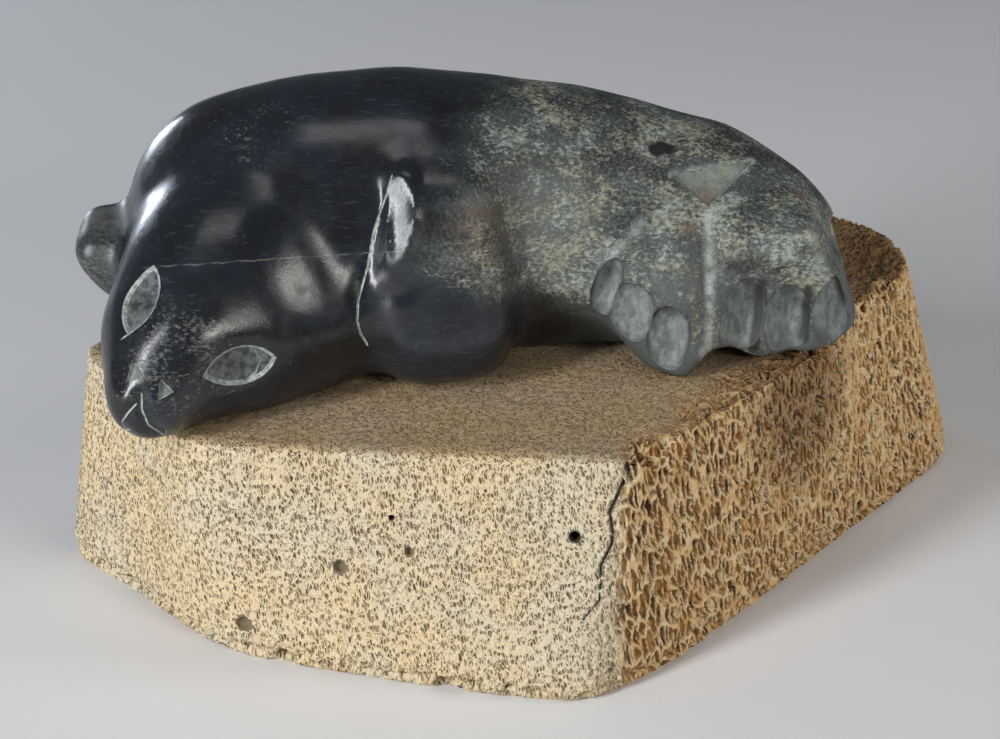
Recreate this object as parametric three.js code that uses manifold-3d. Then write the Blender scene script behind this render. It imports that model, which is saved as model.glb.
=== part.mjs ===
// A seal carved from one piece of dark soapstone, curled nose-down on a sawn block of weathered whalebone.
// The two pieces are loose: the seal rests on the block's top by its own weight, and its nose and one hind
// flipper reach past the block's edges. Millimetres, +Z up, and the seal's face looks along -Y.
import * as THREE from "three";
import { mergeVertices } from "three/addons/utils/BufferGeometryUtils.js";
import Module from "manifold-3d";

const wasm = await Module();
wasm.setup();

// Driving dimensions.
const SEAL_LENGTH = 200;
const BLOCK_WIDTH = 241;
const BLOCK_DEPTH = 174;
const BLOCK_HEIGHT = 60;
const SEAT_GAP = 0.3;
const SEAT = { x: -6.75, y: -23 };
const BLOCK_EDGE_ROUND = 2.5;
const BLOCK_FOOT_ROUND = 3;

// The stone's forms are laid out on a carving of this many units, and scaled to SEAL_LENGTH at the end.
const CARVING_UNITS = 200;
const SKIN_CELL = 4.7;
const UNDERSIDE = -6;

const point = (x, y, z) => new THREE.Vector3(x, y, z);

// A closed geometry as a solid that can be cut and joined.
function solidFrom(geometry) {
  const bare = new THREE.BufferGeometry().setAttribute("position", geometry.getAttribute("position").clone());
  if (geometry.index) bare.setIndex(geometry.index.clone());
  const merged = mergeVertices(bare, 1e-4);
  return new wasm.Manifold(
    new wasm.Mesh({
      numProp: 3,
      vertProperties: merged.getAttribute("position").array,
      triVerts: new Uint32Array(merged.index.array),
    }),
  );
}

// A solid back as a geometry for a mesh.
function geometryFrom(solid) {
  const mesh = solid.getMesh();
  const places = new Float32Array(mesh.numVert * 3);
  for (let i = 0; i < mesh.numVert; i++) {
    places.set(mesh.vertProperties.subarray(i * mesh.numProp, i * mesh.numProp + 3), i * 3);
  }
  const geometry = new THREE.BufferGeometry();
  geometry.setAttribute("position", new THREE.BufferAttribute(places, 3));
  geometry.setIndex(new THREE.BufferAttribute(new Uint32Array(mesh.triVerts), 1));
  geometry.computeVertexNormals();
  return geometry;
}

// Rounded stone forms. Each is a field: the rough distance from a point to its surface, negative inside.

// A limb that tapers between two balls.
function limb(from, fromRadius, to, toRadius) {
  const run = to.clone().sub(from);
  const runSquared = run.lengthSq();
  return (p) => {
    const x = p.x - from.x;
    const y = p.y - from.y;
    const z = p.z - from.z;
    const along = THREE.MathUtils.clamp((x * run.x + y * run.y + z * run.z) / runSquared, 0, 1);
    const away = Math.hypot(x - along * run.x, y - along * run.y, z - along * run.z);
    return away - THREE.MathUtils.lerp(fromRadius, toRadius, along);
  };
}

// Gives a point's place in a form's own frame, whose z runs along ahead and whose x runs close to across.
function frameOf(at, ahead, across) {
  const z = ahead.clone().normalize();
  const x = across.clone().addScaledVector(z, -across.dot(z)).normalize();
  const y = z.clone().cross(x);
  const inverse = new THREE.Matrix4().makeBasis(x, y, z).setPosition(at).invert();
  const local = new THREE.Vector3();
  return (p) => local.copy(p).applyMatrix4(inverse);
}

const UP = point(0, 0, 1);
const RIGHT = point(1, 0, 0);

// An egg-shaped lobe.
function lobe(at, radii, ahead = UP, across = RIGHT) {
  const toLocal = frameOf(at, ahead, across);
  return (p) => {
    const q = toLocal(p);
    const near = Math.hypot(q.x / radii.x, q.y / radii.y, q.z / radii.z);
    const slope = Math.hypot(q.x / radii.x ** 2, q.y / radii.y ** 2, q.z / radii.z ** 2);
    return slope < 1e-9 ? -Math.min(radii.x, radii.y, radii.z) : (near * (near - 1)) / slope;
  };
}

// A flat-faced pad with rounded edges.
function pad(at, halfSize, round, ahead = UP, across = RIGHT) {
  const toLocal = frameOf(at, ahead, across);
  return (p) => {
    const q = toLocal(p);
    const x = Math.abs(q.x) - halfSize.x + round;
    const y = Math.abs(q.y) - halfSize.y + round;
    const z = Math.abs(q.z) - halfSize.z + round;
    const outside = Math.hypot(Math.max(x, 0), Math.max(y, 0), Math.max(z, 0));
    return outside + Math.min(Math.max(x, y, z), 0) - round;
  };
}

// Two forms joined with a fillet that is as wide as blend says.
function join(a, b, blend) {
  const overlap = Math.max(blend - Math.abs(a - b), 0) / blend;
  return Math.min(a, b) - (overlap * overlap * blend) / 4;
}

// What is left of one form when another is taken away, with a softened edge.
const carve = (a, b, blend) => -join(-a, b, blend);

// A form filed flat through a place, where outward is the way that the flat faces.
function filed(form, at, outward, soft) {
  const facing = outward.clone().normalize();
  return (p) => {
    const over = facing.x * (p.x - at.x) + facing.y * (p.y - at.y) + facing.z * (p.z - at.z);
    return carve(form(p), -over, soft);
  };
}

// The seal. Z is height over the block's top.
const spine = [
  [point(-67, 6, 27), 26],
  [point(-63, 26, 30.5), 31.5],
  [point(-47, 25, 31.5), 35],
  [point(-26, 27.5, 31.5), 36],
  [point(-6, 32, 29), 35],
  [point(15, 36, 26.5), 33.5],
  [point(31, 38, 24), 31],
  [point(50, 35, 22.5), 28.5],
  [point(62, 29, 21.5), 24.5],
];
const trunkForms = spine.slice(1).map(([at, radius], i) => limb(spine[i][0], spine[i][1], at, radius));
const faceAhead = point(-0.42, -0.6, -0.68);
const faceAcross = point(-0.8, 0, 0.59);
const cranium = lobe(point(-73, -13, 23), point(22.5, 22, 30), faceAhead, faceAcross);
const snout = limb(point(-79, -27, 16), 16, point(-84, -36, 10), 11.5);
const throat = limb(point(-60, -12, 15), 19.5, point(-44, 1, 16), 19.5);
const foreShape = pad(point(-15.5, -1, 27), point(18, 14, 28), 12, point(-0.1, 0.16, 0.98), point(1, 0.05, 0));
const foreFlipper = filed(foreShape, point(-24.5, -12.5, 40), point(-0.6, -0.7, 0.35), 3);
const outerShape = pad(point(-95, 20, 22), point(14.5, 14, 9), 5, point(0.35, 0, 1));
const outerFlipper = filed(outerShape, point(-106, 20, 21), point(-0.8, -0.1, -0.6), 3);

let hindRight = pad(point(70, 14, 17), point(24, 16, 24), 2, UP, point(1, 0.3, 0));
hindRight = filed(hindRight, point(60, -3.5, 30), point(0, -0.76, 0.65), 3);
hindRight = filed(hindRight, point(60, -3, 30), point(0.28, -0.95, -0.12), 3);
hindRight = filed(hindRight, point(84.3, 0, 23), point(0.93, -0.15, 0.3), 2);
hindRight = filed(hindRight, point(78, 15, 38), point(0.6, 0, 0.8), 4);
hindRight = filed(hindRight, point(52, 0, 20), point(-1, 0, 0), 2);
hindRight = filed(hindRight, point(66, 0, 0), point(0.2, 0, -0.98), 2);
let hindLeft = pad(point(36, 12, 17), point(24, 15.5, 24), 2, UP, point(1, -0.3, 0));
hindLeft = filed(hindLeft, point(45, -4, 29), point(0, -0.76, 0.65), 3);
hindLeft = filed(hindLeft, point(28.5, 0, 9.5), point(-0.74, 0, -0.67), 2);
hindLeft = filed(hindLeft, point(19, 5, 24), point(-0.75, -0.1, 0.55), 3);
hindLeft = filed(hindLeft, point(53.5, 0, 20), point(1, 0, 0), 2);
const archUnderGroove = limb(point(56, -40, -3), 8, point(56, 12, -3), 8);

function sealField(p) {
  let body = trunkForms[0](p);
  for (const form of trunkForms.slice(1)) body = join(body, form(p), 6);
  body = join(body, outerFlipper(p), 5);
  body = join(body, throat(p), 8);
  const head = join(cranium(p), snout(p), 10);
  body = join(body, head, 10);
  body = join(body, foreFlipper(p), 5);
  body = join(body, hindLeft(p), 5);
  body = join(body, hindRight(p), 5);
  body = carve(body, archUnderGroove(p), 2);
  return Math.max(body, UNDERSIDE - p.z);
}

// The way that a field grows fastest at a place, which on the skin is the way out of the stone.
function slopeOf(field, at, step) {
  const value = field(at);
  const aside = (x, y, z) => field(point(at.x + x * step, at.y + y * step, at.z + z * step)) - value;
  return point(aside(1, 0, 0), aside(0, 1, 0), aside(0, 0, 1)).divideScalar(step);
}

// The marks that are cut into the stone are laid out as seen from the front and a little above, and each is
// moved along that line of sight until it lies on the skin.
const FRONT = point(0, -0.906, 0.423);

function onSkin(mark) {
  const reach = 40;
  const steps = 60;
  const at = mark.clone().addScaledVector(FRONT, reach);
  for (let i = 0; i < steps; i++) at.addScaledVector(FRONT, -0.8 * sealField(at));
  return { at, outward: slopeOf(sealField, at, 0.1).normalize() };
}

// A turn that stands a form's z out of the skin and its x along the skin, close to along.
function turnFor(outward, along) {
  const x = along.clone().addScaledVector(outward, -along.dot(outward)).normalize();
  return new THREE.Matrix4().makeBasis(x, outward.clone().cross(x), outward);
}

// A shallow hollow with a crisp oval rim, long by wide on the skin.
function scoop(mark, along, long, wide, depth) {
  const { at, outward } = onSkin(mark);
  const ballRadius = 7;
  const rimShare = Math.sqrt(1 - (1 - depth / ballRadius) ** 2);
  const ball = new THREE.SphereGeometry(1, 16, 10);
  ball.scale(long / 2 / rimShare, wide / 2 / rimShare, ballRadius);
  ball.applyMatrix4(turnFor(outward, along));
  const centre = at.addScaledVector(outward, ballRadius - depth);
  return solidFrom(ball.translate(centre.x, centre.y, centre.z));
}

// A straight-sided sinking of any outline, cut to a given depth at its middle.
function sinking(mark, along, shape, depth) {
  const { at, outward } = onSkin(mark);
  const prism = new THREE.ExtrudeGeometry(shape, { depth: 12, bevelEnabled: false, curveSegments: 8 });
  prism.translate(0, 0, -depth);
  prism.applyMatrix4(turnFor(outward, along));
  return solidFrom(prism.translate(at.x, at.y, at.z));
}

// A round-bottomed groove along the skin through its marks.
function groove(marks, radius) {
  const spots = marks.map((mark) => onSkin(mark).at);
  const runs = spots.slice(1).map((to, i) => {
    const from = spots[i];
    const capsule = new THREE.CapsuleGeometry(radius, from.distanceTo(to), 2, 6);
    const turn = new THREE.Quaternion().setFromUnitVectors(point(0, 1, 0), to.clone().sub(from).normalize());
    const middle = from.clone().lerp(to, 0.5);
    return solidFrom(capsule.applyQuaternion(turn).translate(middle.x, middle.y, middle.z));
  });
  return wasm.Manifold.union(runs);
}

function almond(long, wide) {
  const shape = new THREE.Shape();
  shape.moveTo(-long / 2, 0);
  shape.quadraticCurveTo(0, -wide, long / 2, 0);
  shape.quadraticCurveTo(0, wide, -long / 2, 0);
  return shape;
}

function triangle(a, b, c) {
  return new THREE.Shape([new THREE.Vector2(...a), new THREE.Vector2(...b), new THREE.Vector2(...c)]);
}

// Eyes, nostrils, mouth, flipper creases, toes and the cleft between the hind flippers.
function carvings() {
  const cuts = [];
  const leftEye = { mark: point(-85.5, -32, 32), along: point(0.3, -0.4, -0.85) };
  const rightEye = { mark: point(-63, -32, 15), along: point(0.97, 0.1, 0.2) };
  for (const eye of [leftEye, rightEye]) cuts.push(sinking(eye.mark, eye.along, almond(18, 10), 2.2));
  cuts.push(sinking(point(-87, -43, 18), point(0, 0, 1), triangle([3, 1.5], [0, -1.8], [-3, 1.2]), 1.2));
  cuts.push(sinking(point(-79.5, -44, 14.5), point(0, 0, 1), triangle([3.2, -0.5], [-3.4, 1.6], [0, -2]), 1.2));
  cuts.push(groove([point(-85, -47, 12), point(-87.5, -45, 8), point(-91, -42, 6)], 0.9));
  cuts.push(groove([point(-85, -47, 12), point(-82.5, -46, 8), point(-79, -44, 3)], 0.9));
  const foreCrease = [
    point(-25.5, -8, 60),
    point(-27.5, -10, 54),
    point(-30, -14, 46),
    point(-33, -15, 37),
    point(-35, -15, 28),
    point(-36, -14, 20),
    point(-33, -13, 13),
  ];
  cuts.push(groove(foreCrease, 1));
  const toe = (x, y, z, long, wide, lean) => scoop(point(x, y, z), point(lean, 0, 1), long, wide, 2.6);
  cuts.push(toe(27.5, 0, 21.5, 16, 5, 0.25));
  cuts.push(toe(34.5, -4, 18.5, 15, 11, 0.25));
  cuts.push(toe(44, -5, 10, 16, 10.5, 0.15));
  cuts.push(toe(50, -3, 6.5, 8, 4, 0));
  cuts.push(toe(60.7, -4, 17, 24, 10.5, 0.05));
  cuts.push(toe(73, -3, 14, 21, 11, 0));
  cuts.push(toe(85, 0, 16, 20, 10, 0));
  const cleftTop = point(53, 8, 41);
  const cleft = [cleftTop, point(52.7, 0, 32), point(52.8, -2, 20), point(53, -2, 4)];
  cuts.push(groove(cleft, 1.3));
  cuts.push(groove([point(45.5, 18, 45), cleftTop], 0.9));
  cuts.push(groove([point(65, 22, 48), cleftTop], 0.9));
  cuts.push(sinking(point(55, 15, 45), point(1, 0.2, 0), triangle([-9, 4.5], [-1.5, -6], [9.5, 4.5]), 1));
  return wasm.Manifold.union(cuts);
}

// The skin of a field as a closed mesh of even quads, by placing one vertex in each cell that the surface
// crosses, and easing the vertices along the surface until they sit evenly on it.
function skinOf(field, low, high, cell) {
  const counts = high.clone().sub(low).divideScalar(cell).ceil().addScalar(1);
  const [nx, ny, nz] = [counts.x, counts.y, counts.z];
  const values = new Float64Array(nx * ny * nz);
  const at = (i, j, k) => i + nx * (j + ny * k);
  const p = new THREE.Vector3();
  for (let k = 0; k < nz; k++) {
    for (let j = 0; j < ny; j++) {
      for (let i = 0; i < nx; i++) {
        values[at(i, j, k)] = field(p.set(low.x + i * cell, low.y + j * cell, low.z + k * cell));
      }
    }
  }
  const corners = [0, 1, 2, 3, 4, 5, 6, 7].map((c) => [c & 1, (c >> 1) & 1, (c >> 2) & 1]);
  const edges = [];
  corners.forEach((a, i) => {
    corners.forEach((b, j) => {
      if (i < j && Math.abs(a[0] - b[0]) + Math.abs(a[1] - b[1]) + Math.abs(a[2] - b[2]) === 1) edges.push([a, b]);
    });
  });
  const vertexOf = new Map();
  const vertices = [];
  for (let k = 0; k < nz - 1; k++) {
    for (let j = 0; j < ny - 1; j++) {
      for (let i = 0; i < nx - 1; i++) {
        const middle = new THREE.Vector3();
        let crossings = 0;
        for (const [a, b] of edges) {
          const fa = values[at(i + a[0], j + a[1], k + a[2])];
          const fb = values[at(i + b[0], j + b[1], k + b[2])];
          if (fa < 0 === fb < 0) continue;
          const t = fa / (fa - fb);
          middle.x += i + a[0] + t * (b[0] - a[0]);
          middle.y += j + a[1] + t * (b[1] - a[1]);
          middle.z += k + a[2] + t * (b[2] - a[2]);
          crossings++;
        }
        if (!crossings) continue;
        vertexOf.set(at(i, j, k), vertices.length);
        vertices.push(middle.divideScalar(crossings).multiplyScalar(cell).add(low));
      }
    }
  }
  const quads = [];
  const steps = [at(1, 0, 0), at(0, 1, 0), at(0, 0, 1)];
  for (let k = 1; k < nz - 1; k++) {
    for (let j = 1; j < ny - 1; j++) {
      for (let i = 1; i < nx - 1; i++) {
        const here = at(i, j, k);
        steps.forEach((step, axis) => {
          const inside = values[here] < 0;
          if (inside === values[here + step] < 0) return;
          const u = steps[(axis + 1) % 3];
          const v = steps[(axis + 2) % 3];
          const ring = [here, here - u, here - u - v, here - v].map((c) => vertexOf.get(c));
          quads.push(inside ? ring : ring.reverse());
        });
      }
    }
  }
  easeOnto(field, vertices, quads, cell);
  const index = [];
  for (const [a, b, c, d] of quads) {
    const short = vertices[a].distanceTo(vertices[c]) < vertices[b].distanceTo(vertices[d]);
    index.push(...(short ? [a, b, c, a, c, d] : [a, b, d, b, c, d]));
  }
  const geometry = new THREE.BufferGeometry().setFromPoints(vertices);
  return geometry.setIndex(index);
}

// Moves each vertex towards the middle of its neighbours and back onto the field's surface, a few times.
function easeOnto(field, vertices, quads, cell) {
  const rounds = 4;
  const slopeStep = cell * 0.02;
  const settle = (v) => {
    for (let pass = 0; pass < 2; pass++) {
      const slope = slopeOf(field, v, slopeStep);
      const move = THREE.MathUtils.clamp(field(v) / Math.max(slope.lengthSq(), 0.25), -cell, cell);
      v.addScaledVector(slope, -move);
    }
  };
  for (let round = 0; round < rounds; round++) {
    const sums = vertices.map(() => new THREE.Vector3());
    const counts = new Uint16Array(vertices.length);
    for (const quad of quads) {
      quad.forEach((v, i) => {
        sums[v].add(vertices[quad[(i + 1) % 4]]).add(vertices[quad[(i + 3) % 4]]);
        counts[v] += 2;
      });
    }
    vertices.forEach((v, i) => {
      v.lerp(sums[i].divideScalar(counts[i]), 0.5);
      settle(v);
    });
  }
}

function sealGeometry() {
  const skin = skinOf(sealField, point(-125, -62, -12), point(105, 80, 80), SKIN_CELL);
  let stone = solidFrom(skin);
  const below = new THREE.BoxGeometry(400, 400, 100).translate(0, 0, -50);
  stone = stone.subtract(solidFrom(below)).subtract(carvings());
  const scale = SEAL_LENGTH / CARVING_UNITS;
  return geometryFrom(stone).scale(scale, scale, scale);
}

// The block's outline in plan, as shares of its width and depth from its middle, at its top and at its foot.
const blockPlan = [
  { top: [-0.47, -0.043], foot: [-0.5, -0.049] },
  { top: [-0.41, -0.2], foot: [-0.415, -0.2] },
  { top: [-0.346, -0.351], foot: [-0.31, -0.36] },
  { top: [-0.202, -0.389], foot: [-0.2, -0.42] },
  { top: [0.03, -0.411], foot: [-0.02, -0.49] },
  { top: [0.1, -0.416], foot: [0.06, -0.498] },
  { top: [0.122, -0.39], foot: [0.135, -0.42] },
  { top: [0.258, -0.164], foot: [0.254, -0.21] },
  { top: [0.33, -0.02], foot: [0.362, 0.0] },
  { top: [0.385, 0.15], foot: [0.441, 0.15] },
  { top: [0.432, 0.25], foot: [0.5, 0.29] },
  { top: [0.425, 0.39], foot: [0.478, 0.44] },
  { top: [0.34, 0.5], foot: [0.36, 0.5] },
  { top: [0.1, 0.48], foot: [0.1, 0.5] },
  { top: [-0.15, 0.34], foot: [-0.15, 0.37] },
  { top: [-0.35, 0.14], foot: [-0.37, 0.17] },
  { top: [-0.45, -0.005], foot: [-0.48, 0.0] },
];

function blockGeometry() {
  const pointsPerCorner = 4;
  const around = blockPlan.length * pointsPerCorner;
  const curveOf = (end) => {
    const corners = blockPlan.map((corner) => point(corner[end][0] * BLOCK_WIDTH, corner[end][1] * BLOCK_DEPTH, 0));
    return new THREE.CatmullRomCurve3(corners, true, "centripetal").getPoints(around).slice(0, around);
  };
  const top = curveOf("top");
  const foot = curveOf("foot");
  const rings = [];
  const ringAt = (height, inset) => {
    const share = height / BLOCK_HEIGHT;
    return top.map((t, i) => {
      const p = foot[i].clone().lerp(t, share);
      const reach = Math.hypot(p.x, p.y);
      p.multiplyScalar((reach - inset) / reach);
      p.z = height;
      return p;
    });
  };
  const footSteps = 3;
  for (let i = 0; i <= footSteps; i++) {
    const angle = (Math.PI / 2) * (i / footSteps);
    const rise = BLOCK_FOOT_ROUND * (1 - Math.cos(angle));
    rings.push(ringAt(rise, BLOCK_FOOT_ROUND * (1 - Math.sin(angle))));
  }
  for (const share of [0.3, 0.5, 0.7]) rings.push(ringAt(BLOCK_HEIGHT * share, 0));
  for (let i = 0; i <= footSteps; i++) {
    const angle = (Math.PI / 2) * (i / footSteps);
    const drop = BLOCK_EDGE_ROUND * (1 - Math.sin(angle));
    rings.push(ringAt(BLOCK_HEIGHT - drop, BLOCK_EDGE_ROUND * (1 - Math.cos(angle))));
  }
  const places = rings.flat();
  const index = [];
  for (let r = 0; r < rings.length - 1; r++) {
    for (let i = 0; i < around; i++) {
      const next = (i + 1) % around;
      const [a, b] = [r * around + i, r * around + next];
      const [c, d] = [a + around, b + around];
      index.push(a, b, d, a, d, c);
    }
  }
  const lid = (ring, height, up) => {
    const centre = places.length;
    places.push(point(0, 0, height));
    for (let i = 0; i < around; i++) {
      const [a, b] = [ring * around + i, ring * around + ((i + 1) % around)];
      index.push(...(up ? [centre, a, b] : [centre, b, a]));
    }
  };
  lid(0, 0, false);
  lid(rings.length - 1, BLOCK_HEIGHT, true);
  return new THREE.BufferGeometry().setFromPoints(places).setIndex(index);
}

const soapstone = new THREE.MeshStandardMaterial({ color: 0x2b2f33, roughness: 0.3, metalness: 0 });
const whalebone = new THREE.MeshStandardMaterial({ color: 0xc4ae84, roughness: 0.9, metalness: 0 });

const block = new THREE.Mesh(blockGeometry(), whalebone);
block.name = "whalebone_block";

const seal = new THREE.Mesh(sealGeometry(), soapstone);
seal.name = "soapstone_seal";
seal.position.set(SEAT.x, SEAT.y, BLOCK_HEIGHT + SEAT_GAP);

const carving = new THREE.Group();
carving.add(block, seal);

// The origin is the middle of the whole object's footprint, at its foot.
const extent = new THREE.Box3().setFromObject(carving);
const middle = extent.getCenter(new THREE.Vector3());
for (const piece of carving.children) {
  piece.position.x -= middle.x;
  piece.position.y -= middle.y;
  piece.position.z -= extent.min.z;
}

export default carving;
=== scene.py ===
import math
import bpy
from mathutils import Matrix, Vector
from mathutils.kdtree import KDTree


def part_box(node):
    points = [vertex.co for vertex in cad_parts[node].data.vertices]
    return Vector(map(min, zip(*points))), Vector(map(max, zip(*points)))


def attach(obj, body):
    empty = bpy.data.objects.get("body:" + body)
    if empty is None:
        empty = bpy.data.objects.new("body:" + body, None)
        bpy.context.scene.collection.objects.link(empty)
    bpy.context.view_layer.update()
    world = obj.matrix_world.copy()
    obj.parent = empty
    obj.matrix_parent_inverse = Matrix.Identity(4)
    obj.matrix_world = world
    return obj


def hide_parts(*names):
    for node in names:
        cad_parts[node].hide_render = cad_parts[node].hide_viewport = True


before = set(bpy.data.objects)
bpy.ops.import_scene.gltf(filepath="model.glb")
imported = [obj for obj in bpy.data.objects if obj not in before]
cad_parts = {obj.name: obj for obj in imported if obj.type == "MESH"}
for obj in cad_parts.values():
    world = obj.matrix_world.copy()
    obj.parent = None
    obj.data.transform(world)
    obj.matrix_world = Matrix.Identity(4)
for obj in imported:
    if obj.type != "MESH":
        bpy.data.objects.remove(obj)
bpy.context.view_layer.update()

# Camera: a long lens a good arm's length away, looking 25 degrees down on the side
# where the seal's nose and hind flippers lie.
MM = 0.001
CAMERA_PLACE = Vector((-6.79, -725.49, 386.92)) * MM
CAMERA_TILT = math.radians(65)
LENS = 110
FILM_WIDTH = 36
bpy.ops.object.select_all(action="DESELECT")
bpy.ops.object.camera_add(location=CAMERA_PLACE, rotation=(CAMERA_TILT, 0, 0))
camera = bpy.context.object
camera.name = "camera"
camera.data.lens = LENS
camera.data.sensor_width = FILM_WIDTH
bpy.context.scene.camera = camera

# The base: a wedge of old whale bone, sawn and never polished. Long upright cells open on
# its faces, fine in front and wide on the right side. Its foot has crumbled, and worms
# and a drill have left a few holes. The seal rests on its flat top.
BONE_VOXEL = 1.25 * MM
GRAIN_LEAN = 0.2
COARSE_CELL = 1.8 * MM
FINE_CELL = 0.75 * MM
CELL_STRETCH = 0.3
COARSE_DEPTH = 2.4 * MM
FINE_DEPTH = 0.5 * MM
CHIP_DEPTH = 3.4 * MM
CHIPPED_UP_TO = 7 * MM
RIPPLE_DEPTH = 0.5 * MM
SAWN_CORNER = Vector((37.5, -58.0, 0)) * MM
SAWN_SIDE = Vector((0.831, -0.557, 0))
FRONT_SIDE = Vector((0.05, -1, 0)).normalized()


def place(tree, kind, inputs=None, **settings):
    made = tree.nodes.new(kind)
    for name, value in settings.items():
        setattr(made, name, value)
    for socket, value in (inputs or {}).items():
        if isinstance(value, bpy.types.NodeSocket):
            tree.links.new(value, made.inputs[socket])
        else:
            made.inputs[socket].default_value = value
    return made


def sums(tree, operation, first, second=0.0, third=None):
    inputs = {0: first, 1: second}
    if third is not None:
        inputs[2] = third
    return place(tree, "ShaderNodeMath", inputs, operation=operation).outputs[0]


def ramp(tree, value, low, high, out_low=0.0, out_high=1.0):
    """A soft step: out_low below low, out_high above high."""
    inputs = {"Value": value, "From Min": low, "From Max": high, "To Min": out_low, "To Max": out_high}
    made = place(tree, "ShaderNodeMapRange", inputs, interpolation_type="SMOOTHSTEP")
    return made.outputs["Result"]


def noise(tree, where, size, detail=2.0, roughness=0.5, output=0):
    """Clouds whose lumps are about size metres wide."""
    inputs = {"Vector": where, "Scale": 1 / size, "Detail": detail, "Roughness": roughness}
    return place(tree, "ShaderNodeTexNoise", inputs).outputs[output]


def vectors(tree, operation, first, second):
    made = place(tree, "ShaderNodeVectorMath", {0: first, 1: second}, operation=operation)
    return made.outputs["Value" if operation in ("DOT_PRODUCT", "DISTANCE") else "Vector"]


def blend(tree, factor, first, second):
    """Mixes two colours."""
    made = place(tree, "ShaderNodeMix", {0: factor, 6: first, 7: second}, data_type="RGBA")
    return made.outputs[2]


def between(tree, factor, first, second):
    """Mixes two numbers."""
    made = place(tree, "ShaderNodeMix", {0: factor, 2: first, 3: second}, data_type="FLOAT")
    return made.outputs[0]


def near(tree, where, spot, inner, outer):
    """1 within inner metres of a spot, 0 beyond outer metres."""
    return ramp(tree, vectors(tree, "DISTANCE", where, spot), inner, outer, 1.0, 0.0)


def plain_stuff(name, colour, roughness):
    """A material of one flat colour."""
    made = bpy.data.materials.new(name)
    made.use_nodes = True
    shader = made.node_tree.nodes["Principled BSDF"]
    shader.inputs["Base Color"].default_value = colour
    shader.inputs["Roughness"].default_value = roughness
    return made


def only(piece):
    """Leaves this piece alone selected and active."""
    bpy.ops.object.select_all(action="DESELECT")
    piece.select_set(True)
    bpy.context.view_layer.objects.active = piece


def copied_solid(node, name):
    """A copy of a node's solid, with its corners merged."""
    made = bpy.data.objects.new(name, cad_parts[node].data.copy())
    bpy.context.collection.objects.link(made)
    only(made)
    bpy.ops.object.mode_set(mode="EDIT")
    bpy.ops.mesh.select_all(action="SELECT")
    bpy.ops.mesh.remove_doubles(threshold=0.01 * MM)
    bpy.ops.object.mode_set(mode="OBJECT")
    return made


def bone_cells(tree, where):
    """The bone's wide cells and fine cells (0 on a wall, 1 inside a cell) and how open it is."""
    stir = vectors(tree, "SUBTRACT", noise(tree, where, 5 * MM, 2, output=1), (0.5, 0.5, 0.5))
    stirred = vectors(tree, "MULTIPLY_ADD", stir, (2.2 * MM,) * 3)
    tree.links.new(where, stirred.node.inputs[2])
    height = vectors(tree, "DOT_PRODUCT", where, (0, 0, 1))
    lean = place(tree, "ShaderNodeCombineXYZ", {0: sums(tree, "MULTIPLY", height, GRAIN_LEAN)}).outputs[0]
    upright = vectors(tree, "MULTIPLY", vectors(tree, "ADD", stirred, lean), (1, 1, CELL_STRETCH))

    def cells(size, low, high):
        inputs = {"Vector": upright, "Scale": 1 / size, "Randomness": 0.95}
        edges = place(tree, "ShaderNodeTexVoronoi", inputs, feature="DISTANCE_TO_EDGE")
        return ramp(tree, edges.outputs["Distance"], low, high)

    from_corner = vectors(tree, "SUBTRACT", where, SAWN_CORNER)
    inside_side = vectors(tree, "DOT_PRODUCT", from_corner, SAWN_SIDE)
    drift = sums(tree, "MULTIPLY_ADD", noise(tree, where, 14 * MM, 3), 22 * MM, -11 * MM)
    open_side = ramp(tree, sums(tree, "ADD", inside_side, drift), -11 * MM, -1 * MM)
    sideways = vectors(tree, "DOT_PRODUCT", where, (1, 0, 0))
    past_edge = ramp(tree, sums(tree, "MULTIPLY_ADD", drift, 0.4, sideways), 19 * MM, 28 * MM)
    open_side = sums(tree, "MULTIPLY", open_side, past_edge)
    far_right = sums(tree, "ADD", sideways, drift)
    openness = sums(tree, "MAXIMUM", open_side, ramp(tree, far_right, 78 * MM, 96 * MM))
    return cells(COARSE_CELL, 0.04, 0.22), cells(FINE_CELL, 0.05, 0.32), openness


bone_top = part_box("whalebone_block")[1].z
bone = copied_solid("whalebone_block", "whalebone_block_weathered")


def finish_with(piece, kind, **settings):
    """Adds one modifier to a piece and applies it."""
    only(piece)
    made = piece.modifiers.new(kind.lower(), kind)
    for name, value in settings.items():
        setattr(made, name, value)
    bpy.ops.object.modifier_apply(modifier=made.name)


def cut(piece, tools, operation="DIFFERENCE"):
    """Takes each tool out of a piece and throws the tool away. The cut keeps its material."""
    for tool in tools:
        finish_with(
            piece, "BOOLEAN", object=tool, operation=operation, solver="MANIFOLD", material_mode="TRANSFER"
        )
        bpy.data.objects.remove(tool)


def tube(track, radius, inside, smooth=True):
    """A round tool along a row of (place, share of the radius)."""
    bpy.ops.object.select_all(action="DESELECT")
    bpy.ops.curve.primitive_nurbs_path_add()
    made = bpy.context.object
    made.data.splines.clear()
    spline = made.data.splines.new("NURBS")
    spline.points.add(len(track) - 1)
    for point, (spot, share) in zip(spline.points, track):
        point.co = (*spot, 1)
        point.radius = share
    spline.use_endpoint_u = True
    spline.order_u = 3 if smooth else 2
    made.data.dimensions = "3D"
    made.data.bevel_depth = radius
    made.data.bevel_resolution = 1
    made.data.use_fill_caps = True
    bpy.ops.object.convert(target="MESH")
    made = bpy.context.object
    bpy.ops.object.mode_set(mode="EDIT")
    bpy.ops.mesh.select_all(action="SELECT")
    bpy.ops.mesh.remove_doubles(threshold=0.001 * MM)
    bpy.ops.mesh.normals_make_consistent(inside=False)
    bpy.ops.object.mode_set(mode="OBJECT")
    made.data.materials.clear()
    made.data.materials.append(inside)
    return made


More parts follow.
